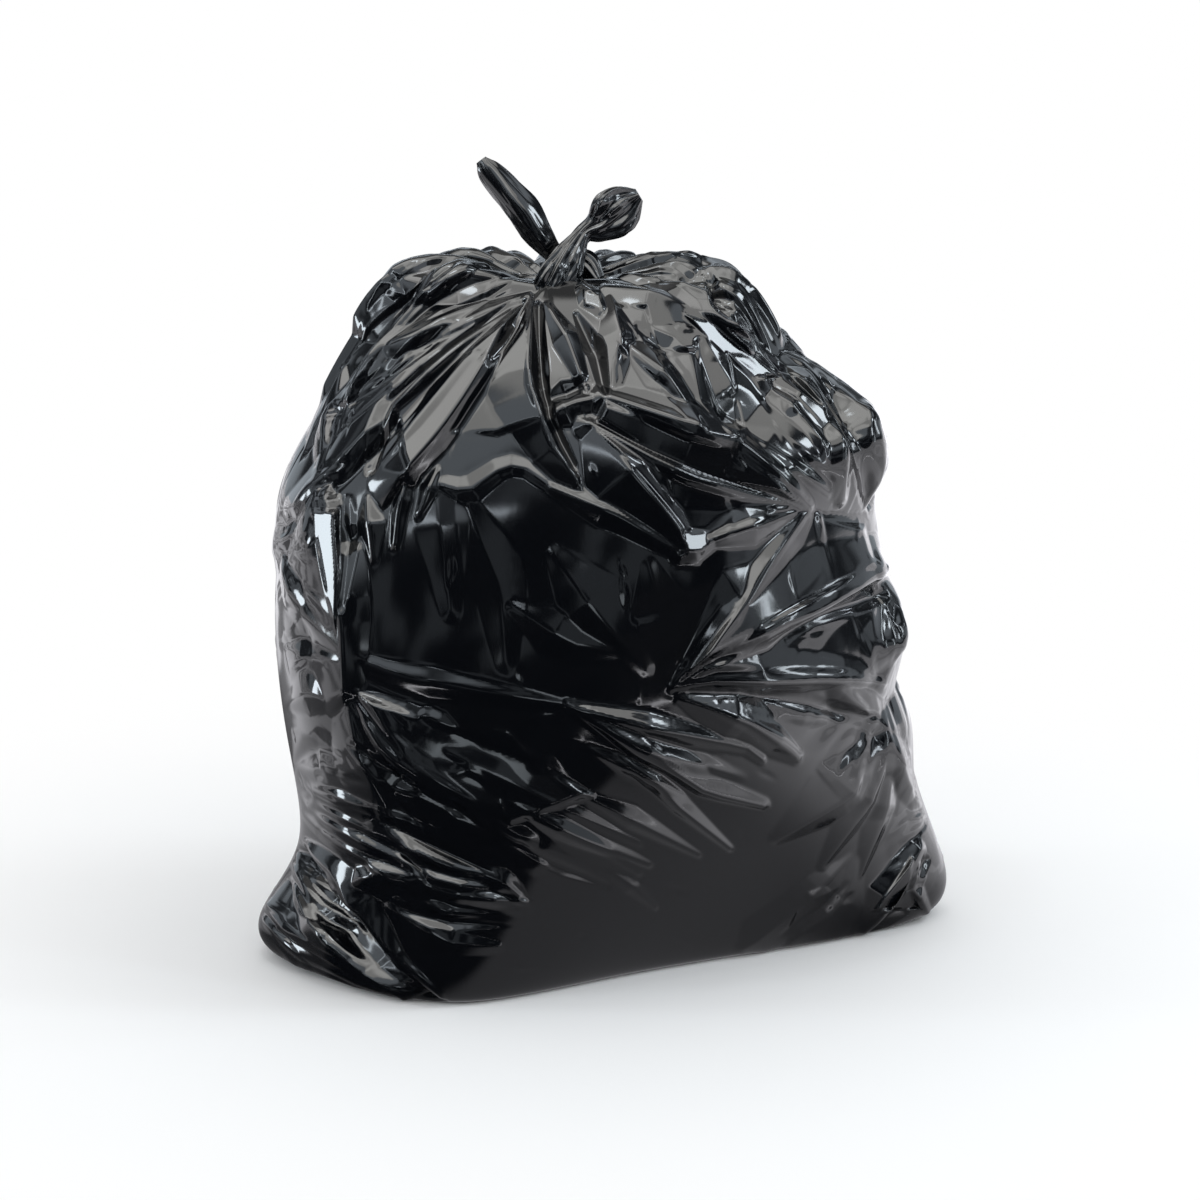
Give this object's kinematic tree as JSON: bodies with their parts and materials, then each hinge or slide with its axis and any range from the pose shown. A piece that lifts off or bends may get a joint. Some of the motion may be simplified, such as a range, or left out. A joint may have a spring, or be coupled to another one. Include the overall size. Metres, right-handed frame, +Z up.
{
  "type": "full bin bag",
  "caption": "full refuse sack of glossy black film, tied shut with its own gathered mouth, standing on its base with folds, creases and a spread lower corner",
  "frame": {"origin": "on the ground under the middle of the sack's box", "axes": "+Z up, the direction of the longest extent; -Y is the broad front that the picture shows; +X is the front's right"},
  "size_m": [0.6118, 0.4482, 0.6967],
  "materials": {
    "film": "thin glossy black polythene film, creased and stretched, with sharp bright highlights"
  },
  "bodies": {
    "root": {"tied_bin_bag": "film"}
  },
  "joints": []
}
